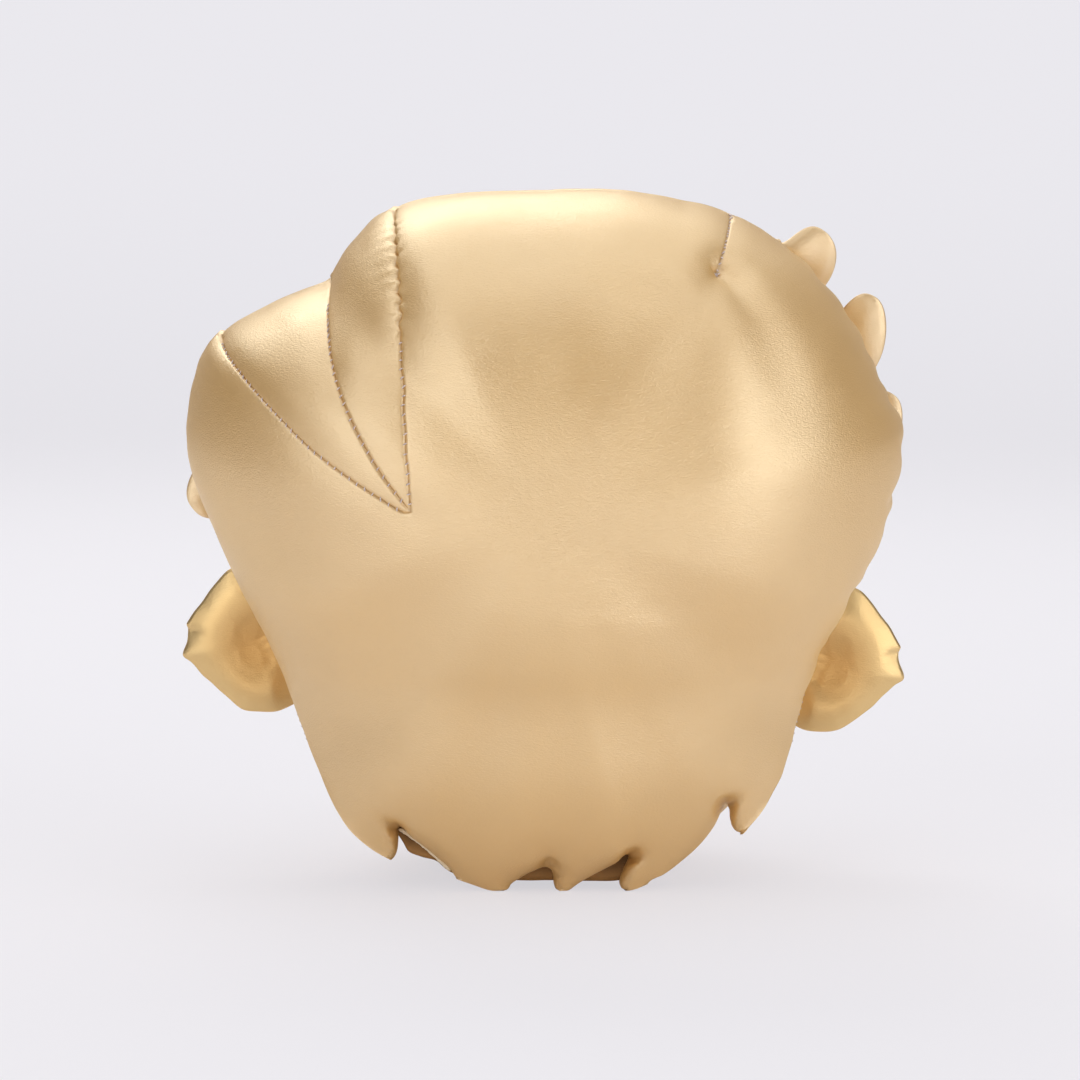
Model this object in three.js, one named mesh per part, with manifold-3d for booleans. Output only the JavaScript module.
// A stuffed head in gold faux leather: a cushion of hair round a head ball, with two ears and
// four swept fringe locks. It is sewn from cut panels, filled with fibre, weighted with pellets
// and stands on a small flat base. Lengths are in millimetres, Z is up, and the face looks
// along -Y, so the back of the hair looks along +Y. The origin is on the underside of the base,
// straight below the middle of the head.
import * as THREE from "three";
import { mergeVertices } from "three/addons/utils/BufferGeometryUtils.js";
import Module from "manifold-3d";

const wasm = await Module();
wasm.setup();

// Leather and sewing
const leather = 1.2;
const seat = 0.3; // clearance between pieces that touch
const overrun = 12; // how far a cutter runs past what it cuts

// Hair cushion
const hairWidth = 226;
const hairHeight = 218;
const hairSetBack = 14; // of the side seam, behind the middle of the head
const hairBackDepth = 84; // from the side seam to the fullest point of the back
const hairFrontDepth = 46;
const hairFullness = 2.5; // power of the swell, where 2 is an ellipsoid
const hemSetBack = 28; // of the hem, behind the rest of the side seam
const hemRise = 70; // height at which the side seam has left the hem's setback
const hemHeight = 12; // sewn flat below this, with no filling

// Head ball
const headWidth = 164;
const headHalfHeight = 91.5;
const baseFlattening = 1.5; // how far the weight of the head presses its ball flat on the base
const headFrontDepth = 74;
const headBackDepth = 60;
const headFullness = 2.3;
const earLineForward = 16; // from the middle of the head to the seam that holds the ears

// Pellet pouch
const pouchRadius = 24;
const pouchHeight = 15;

// Ears
const earLength = 34;
const earHeight = 50;
const earThickness = 15;
const earFullness = 2.4;
const earRootRadius = 3.4;
const earRootHeight = 38;
const earCentreHeight = 72;
const rightEarDrop = 6;

// Fringe locks
const lockWidth = 26.5;
const smallLockWidth = 25;
const lockFrontSwell = 9.5; // from the edge seam of a lock out to its fullest point
const lockBackSwell = 4;
const lockLift = 0.5; // of the back of a lock from what it lies on
const lockSlack = 0.9; // clearance of a lock's filling, which lies loosely in its twist
const lockBridging = 24; // a lock bridges hair and face where they lie this close or less

// Face
const nosePadWidth = 15;
const nosePadHeight = 12;
const nosePadDepth = 9;
const stitchWidth = 3.2;
const stitchThickness = 1.6;
const browWidth = 5;

// Finishes
const goldLeather = new THREE.MeshStandardMaterial({ color: 0xd8b27c, roughness: 0.42, metalness: 0.55 });
const lockLeather = new THREE.MeshStandardMaterial({ color: 0xcfa76b, roughness: 0.4, metalness: 0.55 });
const fibre = new THREE.MeshStandardMaterial({ color: 0xeeeae0, roughness: 0.95, metalness: 0 });
const pelletCloth = new THREE.MeshStandardMaterial({ color: 0xd9d4c6, roughness: 0.9, metalness: 0 });
const bronzeThread = new THREE.MeshStandardMaterial({ color: 0x7a5530, roughness: 0.6, metalness: 0 });

const part = new THREE.Group();

// Turns a closed geometry into a solid that can be cut and joined, with its faces pointing out.
function solid(geometry) {
  const bare = new THREE.BufferGeometry();
  bare.setAttribute("position", geometry.getAttribute("position").clone());
  bare.setIndex(geometry.index);
  const merged = mergeVertices(bare);
  const index = merged.index.array;
  const corners = [];
  for (let i = 0; i < index.length; i += 3) {
    const [a, b, c] = [index[i], index[i + 1], index[i + 2]];
    if (a !== b && b !== c && c !== a) corners.push(a, b, c);
  }
  const vertProperties = merged.attributes.position.array;
  const turned = (list) => {
    const triVerts = new Uint32Array(list);
    return new wasm.Manifold(new wasm.Mesh({ numProp: 3, vertProperties, triVerts }));
  };
  const made = turned(corners);
  return made.volume() > 0 ? made : turned(corners.reverse());
}

// Turns a solid back into a geometry.
function geometryOf(made) {
  const { numProp, vertProperties, triVerts } = made.getMesh();
  const places = new Float32Array((vertProperties.length / numProp) * 3);
  for (let i = 0; i * numProp < vertProperties.length; i += 1) {
    places.set(vertProperties.subarray(i * numProp, i * numProp + 3), i * 3);
  }
  const geometry = new THREE.BufferGeometry();
  geometry.setAttribute("position", new THREE.BufferAttribute(places, 3));
  geometry.setIndex(new THREE.BufferAttribute(triVerts, 1));
  geometry.computeVertexNormals();
  return geometry;
}

function add(name, made, material, parent = part) {
  const mesh = new THREE.Mesh(geometryOf(made), material);
  mesh.name = name;
  parent.add(mesh);
}

// A sphere whose every point is moved to where place puts it: the start of each stuffed form.
function formed(around, along, place) {
  const geometry = new THREE.SphereGeometry(1, around, along);
  const position = geometry.getAttribute("position");
  for (let i = 0; i < position.count; i += 1) {
    const put = place(new THREE.Vector3().fromBufferAttribute(position, i));
    position.setXYZ(i, put.x, put.y, put.z);
  }
  return solid(geometry);
}

// Smooth step from 0 at low to 1 at high.
function ease(value, low, high) {
  const share = THREE.MathUtils.clamp((value - low) / (high - low), 0, 1);
  return share * share * (3 - 2 * share);
}

// Distance from a centre to a closed outline in the XZ plane, by direction.
const outlineSteps = 360;
function reachOf(corners, centre) {
  const outline = new THREE.CatmullRomCurve3(corners, true, "centripetal");
  const ring = outline.getPoints(outlineSteps).map((point) => {
    const away = point.sub(centre);
    return { angle: Math.atan2(away.z, away.x), reach: away.length() };
  });
  ring.sort((a, b) => a.angle - b.angle);
  const [first, last] = [ring[0], ring[ring.length - 1]];
  ring.unshift({ angle: last.angle - 2 * Math.PI, reach: last.reach });
  ring.push({ angle: first.angle + 2 * Math.PI, reach: first.reach });
  return (angle) => {
    const next = ring.findIndex((sample) => sample.angle > angle);
    const [from, to] = [ring[next - 1], ring[next]];
    const share = (angle - from.angle) / (to.angle - from.angle);
    return from.reach + share * (to.reach - from.reach);
  };
}

// A block that covers everything on one side of a plane square to an axis.
const blockSize = 2 * Math.max(hairWidth, hairHeight, 2 * hairBackDepth, 2 * headHalfHeight);
function beyond(axis, place, sign) {
  const block = new THREE.BoxGeometry(blockSize, blockSize, blockSize);
  const middle = new THREE.Vector3();
  middle[axis] = place + (sign * blockSize) / 2;
  block.translate(middle.x, middle.y, middle.z);
  return solid(block);
}

// A shape in the XZ plane, run right through along Y.
function prism(corners) {
  const shape = new THREE.Shape(corners.map((corner) => new THREE.Vector2(corner.x, corner.z)));
  const run = new THREE.ExtrudeGeometry(shape, { depth: blockSize, bevelEnabled: false });
  run.rotateX(Math.PI / 2);
  run.translate(0, blockSize / 2, 0);
  return solid(run);
}

// Outline of the hair cushion seen from the front, as shares of half its width and of its
// height, from the corner at the top of the crown locks, over the top and round.
const hairOutlineShares = [
  [0.42, 0.973], [0.29, 0.991], [0.05, 0.998], [-0.19, 1], [-0.37, 0.986], [-0.52, 0.966],
  [-0.71, 0.903], [-0.85, 0.818], [-0.94, 0.73], [-1, 0.655], [-0.98, 0.56], [-0.92, 0.468],
  [-0.815, 0.365], [-0.73, 0.262], [-0.655, 0.151], [-0.55, 0.081], [-0.43, 0.045],
  [-0.29, 0.012], [-0.22, -0.002], [-0.05, -0.002], [0.12, -0.002], [0.27, 0.022],
  [0.43, 0.045], [0.545, 0.087], [0.655, 0.19], [0.767, 0.329], [0.89, 0.468], [0.985, 0.595],
  [1, 0.657], [0.965, 0.745], [0.915, 0.787], [0.76, 0.835], [0.605, 0.873], [0.525, 0.92],
];
function hairPoint([across, up]) {
  return new THREE.Vector3((across * hairWidth) / 2, 0, up * hairHeight);
}
const hairCentreShares = [0, 0.57];
const hairCentre = hairPoint(hairCentreShares);
const hairReach = reachOf(hairOutlineShares.map(hairPoint), hairCentre);

// How far down towards the hem a direction points, from 0 at the sides to 1.
const hemDirectionShares = [0.5, 0.87];
function hemward(angle) {
  return ease(-Math.sin(angle), ...hemDirectionShares);
}

// How far the hair swells from its side seam, as a share of its depth. It is round at the top
// and the sides, and runs in straighter to the hem.
const roundPower = 0.5;
const hemPower = 1.2;
function hairSwell(flat, angle) {
  const power = roundPower + (hemPower - roundPower) * hemward(angle);
  return Math.max(0, 1 - flat ** hairFullness) ** power;
}

// Place along Y of the side seam at a height.
function seamY(height) {
  return hairSetBack + hemSetBack * (1 - ease(height, 0, hemRise));
}

function hairForm(inset, hem, around, along) {
  return formed(around, along, (way) => {
    const flat = Math.min(1, Math.hypot(way.x, way.z));
    const angle = Math.atan2(way.z, way.x);
    const reach = flat * (hairReach(angle) - inset - hem * hemward(angle));
    const x = hairCentre.x + reach * Math.cos(angle);
    const z = hairCentre.z + reach * Math.sin(angle);
    const depth = (way.y < 0 ? hairFrontDepth : hairBackDepth) - leather;
    const thick = Math.max(0, leather - inset + depth * hairSwell(flat, angle));
    return new THREE.Vector3(x, seamY(z) + Math.sign(way.y) * thick, z);
  });
}

// The head ball is a rounded egg, fuller at the front than at the back.
const headMiddle = new THREE.Vector3(0, 0, headHalfHeight - baseFlattening);
function headHalfDepth(forward) {
  return forward ? headFrontDepth : headBackDepth;
}
function headForm(inset, around, along) {
  return formed(around, along, (way) => {
    const out = new THREE.Vector3(way.x, -way.z, way.y);
    const used = [
      out.x / (headWidth / 2 - inset),
      out.y / (headHalfDepth(out.y < 0) - inset),
      out.z / (headHalfHeight - inset),
    ].reduce((sum, share) => sum + Math.abs(share) ** headFullness, 0);
    return out.multiplyScalar(used ** (-1 / headFullness)).add(headMiddle);
  });
}

// What is left of the head's extent along one axis, at given shares of the other two.
function headLeft(one, two) {
  const used = Math.abs(one) ** headFullness + Math.abs(two) ** headFullness;
  return Math.max(0, 1 - used) ** (1 / headFullness);
}
// Place along Y of the face over a point of the XZ plane, or the back of the head where there
// is no face.
function headFrontY(x, z) {
  const left = headLeft(x / (headWidth / 2), (z - headMiddle.z) / headHalfHeight);
  return left > 0 ? headMiddle.y - headFrontDepth * left : headMiddle.y + headBackDepth;
}
function headSideX(y, z) {
  const deep = (y - headMiddle.y) / headHalfDepth(y < headMiddle.y);
  return (headWidth / 2) * headLeft(deep, (z - headMiddle.z) / headHalfHeight);
}

// Steps round and along each form: more on the skins than in the hollows, which lie deeper.
const hairSkinSteps = [48, 14];
const hairHollowSteps = [30, 8];
const headSkinSteps = [28, 12];
const headHollowSteps = [16, 7];
const hairOuter = hairForm(0, 0, ...hairSkinSteps);
const hairInner = hairForm(leather, hemHeight, ...hairHollowSteps);
const hairFilling = hairForm(leather + seat, hemHeight, ...hairHollowSteps);
const headOuter = headForm(0, ...headSkinSteps);
const headClear = headForm(-seat, ...headSkinSteps);
const hairClear = hairForm(-seat, 0, ...hairSkinSteps);
const headInner = headForm(leather, ...headHollowSteps);
const headFilling = headForm(leather + seat, ...headHollowSteps);

// Seams of the two crown locks, from the point where all three meet up past the outline,
// as shares of half the hair's width and of its height.
const upperSeamShares = [
  [0.358, 0.57], [0.366, 0.645], [0.375, 0.72], [0.387, 0.81], [0.408, 0.9], [0.42, 0.98], [0.425, 1.08],
];
const middleSeamShares = [
  [0.358, 0.57], [0.442, 0.628], [0.503, 0.682], [0.55, 0.734], [0.581, 0.792], [0.6, 0.876], [0.6, 1],
];
const lowerSeamShares = [
  [0.358, 0.57], [0.423, 0.583], [0.517, 0.613], [0.625, 0.652], [0.735, 0.703], [0.823, 0.747],
  [0.9, 0.793], [0.98, 0.93],
];
const seamSteps = 14;
function seamCurve(shares) {
  return new THREE.CatmullRomCurve3(shares.map(hairPoint), false, "centripetal");
}
const crownSeams = [upperSeamShares, middleSeamShares, lowerSeamShares].map(seamCurve);
const [upperSeam, middleSeam, lowerSeam] = crownSeams;

// A thin wall along a seam, which leaves the sewing clearance between two panels.
function seamWall(curve) {
  const sides = [-seat / 2, seat / 2].map((offset) =>
    curve.getPoints(seamSteps).map((point, i) => {
      const along = curve.getTangent(i / seamSteps);
      return point.add(new THREE.Vector3(-along.z, 0, along.x).multiplyScalar(offset));
    }),
  );
  return prism([...sides[0], ...sides[1].reverse()]);
}
function between(first, second) {
  return prism([...first.getPoints(seamSteps), ...second.getPoints(seamSteps).reverse()]);
}
const upperRegion = between(upperSeam, middleSeam);
const lowerRegion = between(middleSeam, lowerSeam);

// Notches between the points of the hem, as shares of half the hair's width and of its height.
const belowShare = -0.03;
const notchShares = [
  [[0.41, 0.084], [0.349, 0.065], [0.265, 0.032], [0.25, belowShare], [0.425, belowShare], [0.42, 0.054]],
  [[-0.02, 0.034], [0.028, 0.038], [0.056, 0.023], [0.092, 0.012], [0.1, belowShare], [-0.021, belowShare]],
  [
    [-0.242, 0.047], [-0.21, 0.011], [-0.212, belowShare], [-0.08, belowShare], [-0.09, 0.005],
    [-0.153, 0.023],
  ],
  [
    [-0.507, 0.118], [-0.513, 0.09], [-0.513, belowShare], [-0.35, belowShare], [-0.35, 0.034],
    [-0.432, 0.065],
  ],
];
const notches = notchShares.map((corners) => prism(corners.map(hairPoint)));

// Everything behind the side seam, or in front of it, with half the sewing clearance left out.
const partSteps = 8;
function besideSeam(sign) {
  const shift = (sign * seat) / 2;
  const line = [new THREE.Vector2(seamY(0) + shift, -overrun)];
  for (let i = 0; i <= partSteps; i += 1) {
    const height = (hemRise * i) / partSteps;
    line.push(new THREE.Vector2(seamY(height) + shift, height));
  }
  const far = sign * blockSize;
  line.push(
    new THREE.Vector2(seamY(hemRise) + shift, blockSize),
    new THREE.Vector2(far, blockSize),
    new THREE.Vector2(far, -overrun),
  );
  const run = new THREE.ExtrudeGeometry(new THREE.Shape(line), { depth: blockSize, bevelEnabled: false });
  run.translate(0, 0, -blockSize / 2);
  const [toY, toZ, toX] = [[0, 1, 0], [0, 0, 1], [1, 0, 0]].map((way) => new THREE.Vector3(...way));
  run.applyMatrix4(new THREE.Matrix4().makeBasis(toY, toZ, toX));
  return solid(run);
}

let hairSkin = hairOuter.subtract(hairInner).subtract(headClear).subtract(beyond("z", 0, -1));
[...notches, ...crownSeams.map(seamWall)].forEach((cutter) => {
  hairSkin = hairSkin.subtract(cutter);
});
const mainSkin = hairSkin.subtract(upperRegion).subtract(lowerRegion);
add("back_hair_panel", mainSkin.intersect(besideSeam(1)), goldLeather);
add("front_hair_panel", mainSkin.intersect(besideSeam(-1)), goldLeather);
add("crown_lock_upper", hairSkin.intersect(upperRegion), goldLeather);
add("crown_lock_lower", hairSkin.intersect(lowerRegion), goldLeather);
add("hair_filling", hairFilling.subtract(headClear), fibre);

// Head ball: a face panel and a back panel that meet at the ear line, on a flat base panel.
const baseTop = leather + seat;
const aboveBase = beyond("z", baseTop, 1);
const headSkin = headOuter.subtract(headInner).intersect(aboveBase);
const earLine = headMiddle.y - earLineForward;
add("face_panel", headSkin.intersect(beyond("y", earLine - seat / 2, -1)), goldLeather);
add("head_back_panel", headSkin.intersect(beyond("y", earLine + seat / 2, 1)), goldLeather);

const baseSides = 28;
const baseCorners = [];
for (let i = 0; i < baseSides; i += 1) {
  const angle = (i / baseSides) * 2 * Math.PI;
  const [across, deep] = [Math.cos(angle), Math.sin(angle)];
  const round = (Math.abs(across) ** headFullness + Math.abs(deep) ** headFullness) ** (-1 / headFullness);
  const left = round * headLeft((baseTop - headMiddle.z) / headHalfHeight, 0);
  const x = left * (headWidth / 2) * across;
  baseCorners.push(new THREE.Vector2(x, headMiddle.y + left * headHalfDepth(deep < 0) * deep));
}
const base = new THREE.ExtrudeGeometry(new THREE.Shape(baseCorners), { depth: leather, bevelEnabled: false });
add("base_panel", solid(base), goldLeather);

const pouchSteps = [20, 8];
function pouchForm(grown) {
  return formed(...pouchSteps, (way) => {
    const radius = pouchRadius + grown;
    const height = pouchHeight + grown;
    return new THREE.Vector3(way.x * radius, headMiddle.y - way.z * radius, baseTop + way.y * height);
  });
}
const headHollow = headFilling.intersect(aboveBase);
add("pellet_pouch", headHollow.intersect(pouchForm(0)), pelletCloth);
add("head_filling", headHollow.subtract(pouchForm(seat)), fibre);

// Ears. Each is modelled round its own hinge line, with +X pointing away from the head.
// Its outline is given as shares of its length and its height, from the root round by the tip.
const earOutlineShares = [
  [0, -0.4], [0.14, -0.48], [0.33, -0.48], [0.49, -0.44], [0.8, -0.21], [1, -0.04], [0.92, 0.08],
  [0.89, 0.18], [0.62, 0.39], [0.42, 0.48], [0.15, 0.49], [0, 0.4],
];
function earPoint([out, up]) {
  return new THREE.Vector3(out * earLength, 0, up * earHeight);
}
const earCentreShares = [0.42, 0];
const earCentre = earPoint(earCentreShares);
const earReach = reachOf(earOutlineShares.map(earPoint), earCentre);
function earForm(inset, around, along) {
  return formed(around, along, (way) => {
    const flat = Math.min(1, Math.hypot(way.x, way.z));
    const angle = Math.atan2(way.z, way.x);
    const reach = flat * (earReach(angle) - inset);
    const thick = (earThickness / 2 - inset) * (1 - flat ** earFullness) ** roundPower;
    const x = earCentre.x + reach * Math.cos(angle);
    return new THREE.Vector3(x, Math.sign(way.y) * thick, earCentre.z + reach * Math.sin(angle));
  });
}
const rootSides = 10;
const rootHalf = earRootHeight / 2;
const rootProfile = [
  new THREE.Vector2(0, -rootHalf),
  new THREE.Vector2(earRootRadius, earRootRadius - rootHalf),
  new THREE.Vector2(earRootRadius, rootHalf - earRootRadius),
  new THREE.Vector2(0, rootHalf),
];
const earRoot = new THREE.LatheGeometry(rootProfile, rootSides);
earRoot.rotateX(Math.PI / 2);

// The hinge line lies along the side of the head at the ear line, a root's radius clear of it.
const hingeSamples = 9;
function earHinge(centreHeight) {
  const low = centreHeight - rootHalf;
  const sideAt = (height) => headSideX(earLine, height);
  const lean = (sideAt(centreHeight + rootHalf) - sideAt(low)) / earRootHeight;
  let bulge = 0;
  for (let i = 0; i < hingeSamples; i += 1) {
    const height = low + (earRootHeight * i) / (hingeSamples - 1);
    bulge = Math.max(bulge, sideAt(height) - sideAt(low) - lean * (height - low));
  }
  const clear = (earRootRadius + seat) * Math.hypot(1, lean);
  const x = sideAt(low) + lean * rootHalf + bulge + clear;
  return { middle: new THREE.Vector3(x, earLine, centreHeight), lean: Math.atan(lean) };
}

const earSkinSteps = [20, 6];
const earHollowSteps = [12, 4];
const earHollow = earForm(leather, ...earHollowSteps);
const earSkin = earForm(0, ...earSkinSteps).add(solid(earRoot)).subtract(earHollow);
const earFilling = earForm(leather + seat, ...earHollowSteps);
function makeEar(name, sign, drop) {
  const ear = new THREE.Group();
  const hinge = earHinge(earCentreHeight - drop);
  ear.position.set(sign * hinge.middle.x, hinge.middle.y, hinge.middle.z);
  ear.rotation.y = sign * hinge.lean;
  ear.scale.x = sign;
  part.add(ear);
  add(`${name}_back_panel`, earSkin.intersect(beyond("y", seat / 2, 1)), lockLeather, ear);
  add(`${name}_front_panel`, earSkin.intersect(beyond("y", -seat / 2, -1)), lockLeather, ear);
  add(`${name}_filling`, earFilling, fibre, ear);
}
makeEar("left_ear", 1, 0);
makeEar("right_ear", -1, rightEarDrop);

// The front of the hair, as a place along Y over each point of the XZ plane. Past this share of
// the way to the outline it stays level, so that a lock flies off.
const flyOffShare = 0.96;
function hairFrontY(x, z) {
  const angle = Math.atan2(z - hairCentre.z, x - hairCentre.x);
  const flat = Math.hypot(x - hairCentre.x, z - hairCentre.z) / hairReach(angle);
  const swell = hairSwell(Math.min(flyOffShare, flat), angle);
  return seamY(z) - leather - (hairFrontDepth - leather) * swell;
}

// The front of the hair and the face together, bridged smoothly where one meets the other.
function frontY(x, z) {
  const [hairY, faceY] = [hairFrontY(x, z), headFrontY(x, z)];
  const near = Math.max(0, 1 - Math.abs(hairY - faceY) / lockBridging);
  return Math.min(hairY, faceY) - (near * near * lockBridging) / 4;
}

// A strip laid on a surface through points given in the XZ plane: places on its middle line,
// each with its direction across, which leans with the surface there. It rests on whatever
// stands out furthest under its width.
const steepest = 1; // slope that a strip leans to at most
const slopeShare = 0.5; // of half the width, to either side, where its slope is taken
const restShares = [-1, -0.5, 0, 0.5, 1]; // of half the width, where it may rest
function laid(corners, half, surfaceY, lift) {
  const flat = new THREE.CatmullRomCurve3(corners, false, "catmullrom");
  const sections = corners.map(({ x, z }, i) => {
    const ahead = flat.getTangent(i / (corners.length - 1));
    const under = (share) => surfaceY(x - share * half * ahead.z, z + share * half * ahead.x);
    const slope = (under(slopeShare) - under(-slopeShare)) / (2 * slopeShare * half);
    const lean = THREE.MathUtils.clamp(slope, -steepest, steepest);
    return { lean, rest: Math.min(...restShares.map((share) => under(share) - lean * share * half)) };
  });
  const leans = sections.map(({ lean }) => new THREE.Vector3(0, lean, 0));
  const places = corners.map(({ x, z }, i) => new THREE.Vector3(x, sections[i].rest - lift, z));
  const curve = new THREE.CatmullRomCurve3(places, false, "catmullrom");
  const lean = new THREE.CatmullRomCurve3(leans, false, "catmullrom");
  return (share) => {
    const ahead = flat.getTangent(share);
    const across = new THREE.Vector3(-ahead.z, lean.getPoint(share).y, ahead.x);
    return { middle: curve.getPoint(share), across };
  };
}

// The fullness of a limb with rounded ends, from 0 at its ends to 1 in the middle, by a turn
// of half a circle from one end to the other. A hollow stays out of ends thinner than its limit.
function fullness(turn, taper, limit) {
  return Math.max(0, Math.sin(turn) ** taper - limit) / (1 - limit);
}

// A closed limb along a strip. It is told its half width, its swell to the front and to the
// back, the power of its taper, an inset, and the limit of its ends.
function limb(strip, { half, front, back, taper }, [around, along], inset = 0, limit = 0) {
  return formed(around, along, (way) => {
    const { middle, across } = strip((1 - way.y) / 2);
    const angle = Math.atan2(way.z, way.x);
    const full = fullness(Math.acos(THREE.MathUtils.clamp(way.y, -1, 1)), taper, limit);
    middle.addScaledVector(across, (half - inset) * full * Math.cos(angle));
    middle.y -= ((way.z > 0 ? front : back) - inset) * full * Math.sin(angle);
    return middle;
  });
}

// Half of a limb's skin, from one edge seam over to the other, on the front or on the back.
function halfSkin(strip, { half, front, back, taper }, [around, along], facing, limit) {
  const plate = new THREE.BoxGeometry(1, 1, 1, along, 1, around / 2);
  const position = plate.getAttribute("position");
  for (let i = 0; i < position.count; i += 1) {
    const turn = (position.getX(i) + 1 / 2) * Math.PI;
    const angle = (position.getZ(i) + 1 / 2) * Math.PI;
    const inner = position.getY(i) < 0;
    const inset = inner ? leather : 0;
    const full = fullness(turn, taper, inner ? limit : 0);
    const swell = (facing < 0 ? front : back) - inset;
    const { middle, across } = strip((1 - Math.cos(turn)) / 2);
    middle.addScaledVector(across, (half - inset) * full * Math.cos(angle));
    middle.y += facing * (swell * full * Math.sin(angle) + seat / 2);
    position.setXYZ(i, middle.x, middle.y, middle.z);
  }
  return solid(plate);
}

// Fringe locks. Each runs from the parting over the front of the hair to a tip that stands out
// past the outline, by points in shares of half the hair's width and of its height.
const lockSteps = [8, 12];
const lockTaper = 1;
const lockHollowLimit = 0.3;
const lockFillingLimit = 0.5;
function makeLock(name, width, pathShares) {
  const strip = laid(pathShares.map(hairPoint), width / 2, frontY, lockBackSwell + lockLift);
  const leaf = { half: width / 2, front: lockFrontSwell, back: lockBackSwell, taper: lockTaper };
  const pressed = (made) => made.subtract(hairClear).subtract(headClear);
  const [front, back] = [-1, 1].map((facing) => halfSkin(strip, leaf, lockSteps, facing, lockHollowLimit));
  add(`${name}_front_panel`, pressed(front), lockLeather);
  add(`${name}_back_panel`, pressed(back), lockLeather);
  const filling = limb(strip, leaf, lockSteps, leather + lockSlack, lockFillingLimit);
  add(`${name}_filling`, pressed(filling), fibre);
}
makeLock("fringe_lock_upper", lockWidth, [
  [0.38, 0.925], [0.12, 0.93], [-0.2, 0.9], [-0.48, 0.87], [-0.7, 0.875], [-0.785, 0.935],
]);
makeLock("fringe_lock_middle", lockWidth, [
  [0.42, 0.83], [0.15, 0.81], [-0.2, 0.75], [-0.55, 0.715], [-0.83, 0.745], [-0.925, 0.84],
]);
makeLock("fringe_lock_lower", lockWidth, [
  [0.44, 0.73], [0.15, 0.675], [-0.2, 0.605], [-0.6, 0.565], [-0.87, 0.61], [-0.985, 0.695],
]);
makeLock("fringe_lock_left", smallLockWidth, [
  [0.5, 0.77], [0.61, 0.7], [0.75, 0.635], [0.9, 0.567], [1, 0.527],
]);

// Face: a padded nose, and satin-stitched brows, closed eyelids and mouth.
const noseHeightShare = 0.33; // of the hair's height
const noseZ = noseHeightShare * hairHeight;
const noseSteps = [12, 8];
const noseForm = formed(...noseSteps, (way) => {
  const x = (way.x * nosePadWidth) / 2;
  const y = headFrontY(0, noseZ) + way.z * nosePadDepth;
  return new THREE.Vector3(x, y, noseZ + (way.y * nosePadHeight) / 2);
});
add("nose_pad", noseForm.subtract(headClear), lockLeather);

const stitchSteps = [6, 8];
const stitchTaper = 0.5;
function makeStitching(name, width, pathShares) {
  const half = stitchThickness / 2;
  const strip = laid(pathShares.map(hairPoint), width / 2, headFrontY, half + seat);
  const satin = { half: width / 2, front: half, back: half, taper: stitchTaper };
  add(name, limb(strip, satin, stitchSteps), bronzeThread);
}
const eyelidShares = [[0.14, 0.405], [0.19, 0.385], [0.27, 0.375], [0.35, 0.385], [0.4, 0.405]];
const browShares = [[0.13, 0.478], [0.2, 0.497], [0.28, 0.5], [0.36, 0.488], [0.42, 0.465]];
const mouthShares = [[-0.13, 0.215], [-0.07, 0.203], [0, 0.199], [0.07, 0.203], [0.13, 0.215]];
[["left", 1], ["right", -1]].forEach(([side, sign]) => {
  const facing = (shares) => shares.map(([across, up]) => [sign * across, up]);
  makeStitching(`${side}_eyelid_stitching`, stitchWidth, facing(eyelidShares));
  makeStitching(`${side}_brow_stitching`, browWidth, facing(browShares));
});
makeStitching("mouth_stitching", stitchWidth, mouthShares);

export default part;
